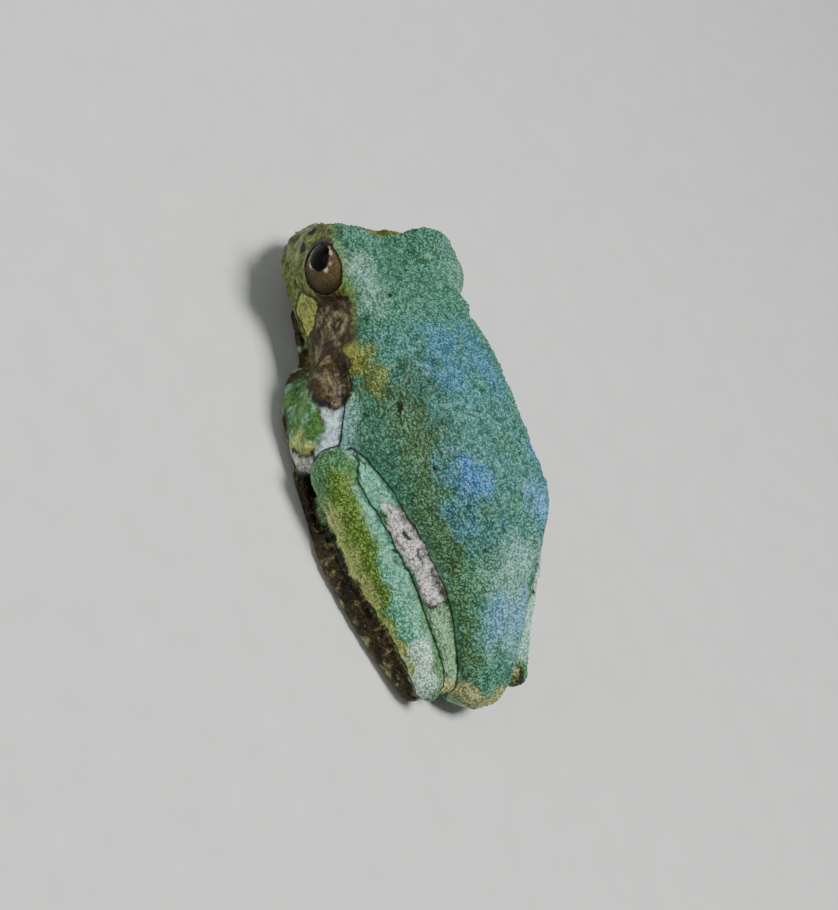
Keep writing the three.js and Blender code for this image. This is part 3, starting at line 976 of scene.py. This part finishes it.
def paintMarks(paint, points, distances):
    for name, anchor, cover, softness, bend, stops in marks:
        depth = bothSides(bent(points, bend), anchor, stops)
        within = shareOf(distances, ownPieces(anchor)) if ownPieces(anchor) else 1
        paint.lay(name, cover * within * smoothStep(-softness, softness / 2, depth))


def paintLids(paint, points):
    for side in sides:
        around = aroundEye(points, side)
        paint.lay("brown", veil(coat["lids"], around) * (1 - veil(coat["lidsEnd"], around)))
        paint.lay("nearBlack", (1 - veil(coat["lidsInside"], around)) * lidsDark)


def paintSkin(piece, seeds):
    points = readPoints(piece)
    normals = readNormals(piece)
    distances = allDistances(points)
    near, across = creaseField(points, distances)
    mottle = patternField(points, "mottle")
    streak = patternField(points, "streak")
    dome, tone = domeField(points, seeds)
    amount = granuleAmount(points, normals, distances, near)
    paint = Paint(len(points), "back")
    paintGround(paint, points, normals, mottle)
    paintLimbs(paint, distances, mottle, streak)
    paintFace(paint, points, distances, mottle)
    paintMarks(paint, points, distances)
    arms = shareOf(distances, armPieces)
    paint.fade("mintPale", "armPale", -mottle, arms)
    paint.fade("brownDark", "armDark", streak, arms)
    paintMask(paint, points, streak, mottle)
    paintCheekSpot(paint, points)
    paintPatch(paint, points, distances, mottle)
    paintLids(paint, points)
    places = bent(points, spotBend)
    # Black spots, and painted shade inside the nostrils
    for anchor, stops in spotsAndNostrilShade:
        paint.lay("nearBlack", veil(coat["spot"], bothSides(places, anchor, stops)))
    # Underside on skin that faces down: its pale colour darkened to tan as painted shade
    paint.lay("belly", veil(coat["belly"], -normals[:, 2]) * (1 - shareOf(distances, ["head"])))
    numbers = {"dome": dome, "tone": tone, "amount": amount, "near": near, "across": across}
    for name, values in numbers.items():
        piece.data.attributes.new(name, "FLOAT", "POINT").data.foreach_set("value", values)
    paint.keep(piece)


paintSkin(skin, seeds)
print("skin painted")


# Materials
class Nodes:
    def __init__(self, name):
        self.material = bpy.data.materials.new(name)
        self.material.use_nodes = True
        self.tree = self.material.node_tree
        self.shader = self.tree.nodes["Principled BSDF"]

    def add(self, kind, inputs=None, **settings):
        node = self.tree.nodes.new("ShaderNode" + kind)
        for name, value in settings.items():
            setattr(node, name, value)
        for name, value in (inputs or {}).items():
            self.put(node.inputs[name], value)
        return node

    def put(self, socket, value):
        if isinstance(value, bpy.types.NodeSocket):
            self.tree.links.new(value, socket)
        else:
            socket.default_value = value

    def attribute(self, name, output="Fac"):
        return self.add("Attribute", attribute_name=name).outputs[output]

    def grey(self, value):
        return self.add("CombineColor", {0: value, 1: value, 2: value}).outputs[0]

    def constants(self, values):
        for name, value in values.items():
            self.shader.inputs[name].default_value = value

    def math(self, operation, first, second=0.0):
        return self.add("Math", {0: first, 1: second}, operation=operation).outputs[0]

    def times(self, first, second):
        return self.math("MULTIPLY", first, second)

    def feed(self, name, value):
        self.put(self.shader.inputs[name], value)

    def ramp(self, value, low, high, start=0.0, end=1.0):
        inputs = {"Value": value, "From Min": low, "From Max": high, "To Min": start, "To Max": end}
        return self.add("MapRange", inputs, interpolation_type="SMOOTHSTEP").outputs[0]

    def mix(self, share, first, second, blend="MIX"):
        node = self.add("Mix", data_type="RGBA", blend_type=blend)
        self.put(node.inputs[0], share)
        self.put(node.inputs[6], first)
        self.put(node.inputs[7], second)
        return node.outputs[2]

    def noise(self, size, detail=2.0, roughness=0.5):
        place = self.add("TexCoord").outputs["Object"]
        inputs = {"Vector": place, "Scale": 1 / (size * mm), "Detail": detail, "Roughness": roughness}
        return self.add("TexNoise", inputs).outputs[0]

    def bump(self, height, distance, before=None):
        inputs = {"Height": height, "Distance": distance * mm, "Strength": 1.0}
        if before:
            inputs["Normal"] = before
        return self.add("Bump", inputs).outputs[0]


# Sizes in millimetres; ramps as from, to and the values there; noises as size, detail, roughness
skinLook = {
    "bendSize": 0.35,
    "beadSize": 0.15,
    "beadBend": 0.14,
    "beadRamp": (0.08, 0.72, 1.0, 0.0),
    "beadShare": 0.65,
    "domeShare": 0.35,
    "grainShare": 0.4,
    # Painted shade in the gaps between beads
    "gap": (0.27, 0.33, 0.28, 1),
    "gapRamp": (0.1, 0.6, 1.0, 0.0),
    # A painted highlight on the tops of beads, kept to pale tints
    "paintedGlint": (0.50, 0.84, 0.74, 1),
    "paintedGlintShare": 0.4,
    "paintedGlintRamp": (0.62, 1.0),
    "toneRamp": (0.1, 1.0, 0.3, 1.0),
    "paleRamp": (0.05, 0.22, 0.12, 1.0),
    "blotch": (0.7, 3.0, 0.6),
    "blotchRamp": (0.3, 0.7, 0.85, 1.15),
    "fleck": (0.26, 3.0, 0.7),
    "fleckRamp": (0.4, 0.6, 0.4, 1.6),
    # A painted shade line along the creases
    "creaseWidth": (0.05, 0.18, 1.0, 0.0),
    "creaseRamp": (0.25, 0.6),
    "creaseShadeForce": 0.9,
    "creaseShadeTint": (0.008, 0.012, 0.010, 1),
    "domeBump": 0.03,
    "beadBump": 0.035,
    "grainBump": 0.012,
    "grain": (0.09, 3.0, 0.6),
    "roughRamp": (0.35, 0.65, 0.34, 0.56),
    "shader": {
        "Coat Weight": 0.08,
        "Coat Roughness": 0.24,
        "Specular IOR Level": 0.18,
        "Subsurface Weight": 0.08,
        "Subsurface Radius": (1.0, 0.7, 0.5),
        "Subsurface Scale": 0.3 * mm,
    },
}


# Fine beads over the whole skin, drawn out a little by bending the places they are read at
def beadHeight(nodes, look):
    place = nodes.add("TexCoord").outputs["Object"]
    noise = {"Vector": place, "Scale": 1 / (look["bendSize"] * mm), "Detail": 1.0}
    bend = nodes.add("TexNoise", noise).outputs["Color"]
    bend = nodes.add("VectorMath", {0: bend, 1: (0.5, 0.5, 0.5)}, operation="SUBTRACT").outputs[0]
    force = {0: bend, "Scale": look["beadBend"] * 2 * mm}
    bend = nodes.add("VectorMath", force, operation="SCALE").outputs[0]
    moved = nodes.add("VectorMath", {0: place, 1: bend}, operation="ADD").outputs[0]
    cells = nodes.add("TexVoronoi", {"Vector": moved, "Scale": 1 / (look["beadSize"] * mm)})
    return nodes.ramp(cells.outputs["Distance"], *look["beadRamp"])


def skinMaterial(look):
    nodes = Nodes("skin")
    tint = nodes.attribute("tint", "Color")
    dome = nodes.attribute("dome")
    amount = nodes.attribute("amount")
    bead = beadHeight(nodes, look)
    grain = nodes.noise(*look["grain"])
    beads = nodes.times(bead, look["beadShare"])
    height = nodes.math("ADD", beads, nodes.times(dome, look["domeShare"]))
    rough = nodes.times(nodes.math("SUBTRACT", grain, 0.5), look["grainShare"])
    height = nodes.math("ADD", height, rough)
    # Painted shade in the gaps between beads, where granules are kept
    gap = nodes.times(nodes.ramp(height, *look["gapRamp"]), amount)
    colour = nodes.mix(gap, tint, nodes.mix(1.0, tint, look["gap"], "MULTIPLY"))
    # Painted highlight on the tops of beads, varied per granule and kept to pale tints
    glintShare = nodes.times(nodes.ramp(height, *look["paintedGlintRamp"]), amount)
    tone = nodes.ramp(nodes.attribute("tone"), *look["toneRamp"])
    pale = nodes.ramp(nodes.add("RGBToBW", {0: tint}).outputs[0], *look["paleRamp"])
    glintShare = nodes.times(nodes.times(glintShare, tone), pale)
    glintShare = nodes.times(glintShare, look["paintedGlintShare"])
    colour = nodes.mix(glintShare, colour, look["paintedGlint"])
    blotch = nodes.ramp(nodes.noise(*look["blotch"]), *look["blotchRamp"])
    colour = nodes.mix(1.0, colour, nodes.grey(blotch), "MULTIPLY")
    fleck = nodes.ramp(nodes.noise(*look["fleck"]), *look["fleckRamp"])
    flecked = nodes.mix(1.0, colour, nodes.grey(fleck), "MULTIPLY")
    colour = nodes.mix(nodes.math("SUBTRACT", 1.0, amount), colour, flecked)
    # Painted shade line along the creases
    line = nodes.ramp(nodes.math("ABSOLUTE", nodes.attribute("across")), *look["creaseWidth"])
    line = nodes.times(line, nodes.ramp(nodes.attribute("near"), *look["creaseRamp"]))
    line = nodes.times(line, look["creaseShadeForce"])
    nodes.feed("Base Color", nodes.mix(line, colour, look["creaseShadeTint"]))
    nodes.feed("Roughness", nodes.ramp(grain, *look["roughRamp"]))
    nodes.constants(look["shader"])
    bumped = nodes.bump(nodes.times(dome, amount), look["domeBump"])
    bumped = nodes.bump(nodes.times(bead, amount), look["beadBump"], bumped)
    bumped = nodes.bump(grain, look["grainBump"], bumped)
    nodes.feed("Normal", bumped)
    return nodes.material


def finishPiece(piece, material, replaced):
    piece.data.transform(Matrix.Scale(mm, 4))
    piece.data.materials.clear()
    piece.data.materials.append(material)
    selectOnly(piece)
    bpy.ops.object.shade_smooth()
    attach(piece, "root")
    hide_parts(*replaced)


finishPiece(skin, skinMaterial(skinLook), fleshNames)
print("skin finished")

# Eyes: a ball with a raised clear front, a long pupil and a netted iris
eyeLook = {
    "gaze": (0.88, 0.37, 0.15),
    "pupilLong": 1.02,
    "pupilHigh": 0.74,
    "irisEdge": 1.98,
    "frontRise": 0.05,
    "frontReach": 1.5,
    "segments": 144,
    "rings": 96,
    "goldPatch": (0.15, 0.4, 0.35),
    "goldAhead": (-0.4, 0.6, 1),
    "net": (0.0, 0.22, 0.9),
    "netWidth": 0.14,
    "coarseShare": 0.6,
    "lowShade": (0.6, 1.3, 0.8),
    "rim": (0.12, 0.09, 1),
    "rimBreaks": (-0.1, 0.15, 0.9),
    "edgeShade": (0.72, 1.1, 1),
    "pupilEdge": (-0.03, 0.03, 1),
    "wobble": 0.05,
    "fleck": (0.12, 3.0, 0.65),
    "shadeRamp": (0.35, 0.65, 0.7, 1.2),
    "roughRamp": (0.3, 0.7, 0.25, 0.45),
    "shader": {
        "Specular IOR Level": 0.05,
        "Coat Weight": 0.05,
        "Coat Roughness": 0.04,
        "Coat IOR": 1.38,
    },
}
# Noise fields of the iris: size of the lumps and seed
irisFields = {
    "wobble": (0.25, 21),
    "net": (0.16, 22),
    "coarseNet": (0.3, 23),
    "gold": (0.22, 24),
    "rim": (0.3, 25),
}
eyeTints = {
    "pupil": (1, 1, 2),
    "gold": (190, 182, 158),
    "bronze": (84, 72, 50),
    "net": (40, 28, 18),
    "edge": (20, 15, 12),
}
tints.update(eyeTints)


def gazeAxes(side):
    outward, forward, up = eyeLook["gaze"]
    gaze = Vector((outward * sides[side], -forward, up)).normalized()
    level = Vector((0, 0, 1)).cross(gaze).normalized() * -sides[side]
    return gaze, level, gaze.cross(level) * -sides[side]


def paintEye(piece, side):
    points = readPoints(piece) - eyeCentre(side)
    gaze, level, upward = [np.array(axis) for axis in gazeAxes(side)]
    front = points @ gaze > 0
    along, high = points @ level, points @ upward
    noise = {name: noiseField(points, *field) for name, field in irisFields.items()}
    wobble = eyeLook["wobble"] * noise["wobble"]
    pupil = np.hypot(along / eyeLook["pupilLong"], high / eyeLook["pupilHigh"]) - 1 + wobble
    net = eyeLook["netWidth"] - np.abs(noise["net"] + eyeLook["coarseShare"] * noise["coarseNet"])
    paint = Paint(len(points), "bronze")
    paint.lay("gold", veil(eyeLook["goldPatch"], noise["gold"]) * veil(eyeLook["goldAhead"], along))
    paint.lay("net", veil(eyeLook["net"], net))
    paint.lay("net", veil(eyeLook["lowShade"], -high))
    paint.lay("gold", ridge(eyeLook["rim"], pupil) * veil(eyeLook["rimBreaks"], noise["rim"]))
    paint.lay("edge", veil(eyeLook["edgeShade"], np.hypot(along, high) / eyeLook["irisEdge"]))
    paint.lay("pupil", 1 - veil(eyeLook["pupilEdge"], pupil))
    paint.colour[~front] = tintOf("edge")
    paint.keep(piece)


def makeEye(side, material):
    gaze = gazeAxes(side)[0]
    bpy.ops.object.select_all(action="DESELECT")
    bpy.ops.mesh.primitive_uv_sphere_add(
        segments=eyeLook["segments"], ring_count=eyeLook["rings"], radius=eyeForm["radius"],
        location=Vector(eyeCentre(side)), rotation=gaze.to_track_quat("Z", "Y").to_euler())
    piece = bpy.context.object
    piece.name = f"eye_ball_{side}"
    bpy.ops.object.transform_apply(location=True, rotation=True, scale=True)
    points = readPoints(piece)
    outward = points - eyeCentre(side)
    ahead = outward @ np.array(gaze)
    fromGaze = lengths(outward - np.outer(ahead, gaze))
    rise = eyeLook["frontRise"] * (1 - smoothStep(0, eyeLook["frontReach"], fromGaze)) * (ahead > 0)
    writePoints(piece, points + outward * (rise / eyeForm["radius"])[:, None])
    paintEye(piece, side)
    finishPiece(piece, material, [f"eye_{side}"])


def eyeMaterial():
    nodes = Nodes("eye")
    tint = nodes.attribute("tint", "Color")
    fleck = nodes.noise(*eyeLook["fleck"])
    shade = nodes.grey(nodes.ramp(fleck, *eyeLook["shadeRamp"]))
    nodes.feed("Base Color", nodes.mix(1.0, tint, shade, "MULTIPLY"))
    nodes.feed("Roughness", nodes.ramp(fleck, *eyeLook["roughRamp"]))
    nodes.constants(eyeLook["shader"])
    return nodes.material


eyeFinish = eyeMaterial()
for side in sides:
    makeEye(side, eyeFinish)
print("eyes finished")

# Camera, floor and lights
cameraSet = {
    "azimuth": 107.4,
    "elevation": 34.1,
    "roll": 59.9,
    "distance": 150,
    "lens": 92.9,
    "sensor": 36,
    "aim": (0, 0, 5),
    "shift": (-0.0045, -0.0162),
}


def makeCamera():
    azimuth = math.radians(cameraSet["azimuth"])
    elevation = math.radians(cameraSet["elevation"])
    back = Vector((
        math.sin(azimuth) * math.cos(elevation),
        -math.cos(azimuth) * math.cos(elevation),
        math.sin(elevation),
    ))
    roll = Matrix.Rotation(math.radians(cameraSet["roll"]), 4, "Z")
    turn = back.to_track_quat("Z", "Y") @ roll.to_quaternion()
    bpy.ops.object.camera_add(
        location=(Vector(cameraSet["aim"]) + back * cameraSet["distance"]) * mm,
        rotation=turn.to_euler())
    camera = bpy.context.object
    camera.data.lens = cameraSet["lens"]
    camera.data.sensor_width = cameraSet["sensor"]
    camera.data.shift_x, camera.data.shift_y = cameraSet["shift"]
    camera.data.clip_start = mm
    bpy.context.scene.camera = camera
    return turn @ Vector((1, 0, 0)), turn @ Vector((0, 1, 0)), back


floorSet = {
    "size": 1.6,
    "drop": 0.02,
    "tint": (0.62, 0.64, 0.62, 1),
    "grain": (3.0, 4.0, 0.6),
    "grainRamp": (0.3, 0.7, 0.97, 1.03),
    "roughness": 0.9,
}


def makeFloor():
    bpy.ops.object.select_all(action="DESELECT")
    bpy.ops.mesh.primitive_plane_add(size=floorSet["size"], location=(0, 0, -floorSet["drop"] * mm))
    floor = bpy.context.object
    floor.name = "floor"
    nodes = Nodes("floor")
    shade = nodes.grey(nodes.ramp(nodes.noise(*floorSet["grain"]), *floorSet["grainRamp"]))
    nodes.feed("Base Color", nodes.mix(1.0, shade, floorSet["tint"], "MULTIPLY"))
    nodes.constants({"Roughness": floorSet["roughness"]})
    floor.data.materials.append(nodes.material)


# Each light: place from the camera's right, up and back directions in millimetres, side and power
lightSet = {
    "key": {"place": (200, 80, 170), "size": 90, "power": 1.08, "tint": (1, 0.98, 0.95)},
    "fill": {"place": (-120, 150, 160), "size": 160, "power": 0.2, "tint": (0.92, 0.96, 1)},
}
worldSet = {"tint": (0.86, 0.92, 1, 1), "strength": 0.2}


def makeLights(right, up, back):
    for name, values in lightSet.items():
        place = sum((axis * amount for axis, amount in zip((right, up, back), values["place"])), Vector())
        turn = place.to_track_quat("Z", "Y").to_euler()
        bpy.ops.object.light_add(type="AREA", location=place * mm, rotation=turn)
        lamp = bpy.context.object
        lamp.name = name
        lamp.data.size = values["size"] * mm
        lamp.data.energy = values["power"]
        lamp.data.color = values["tint"]
    world = bpy.data.worlds.new("studio")
    world.use_nodes = True
    background = world.node_tree.nodes["Background"]
    background.inputs["Color"].default_value = worldSet["tint"]
    background.inputs["Strength"].default_value = worldSet["strength"]
    bpy.context.scene.world = world


makeFloor()
makeLights(*makeCamera())
print("stage set")
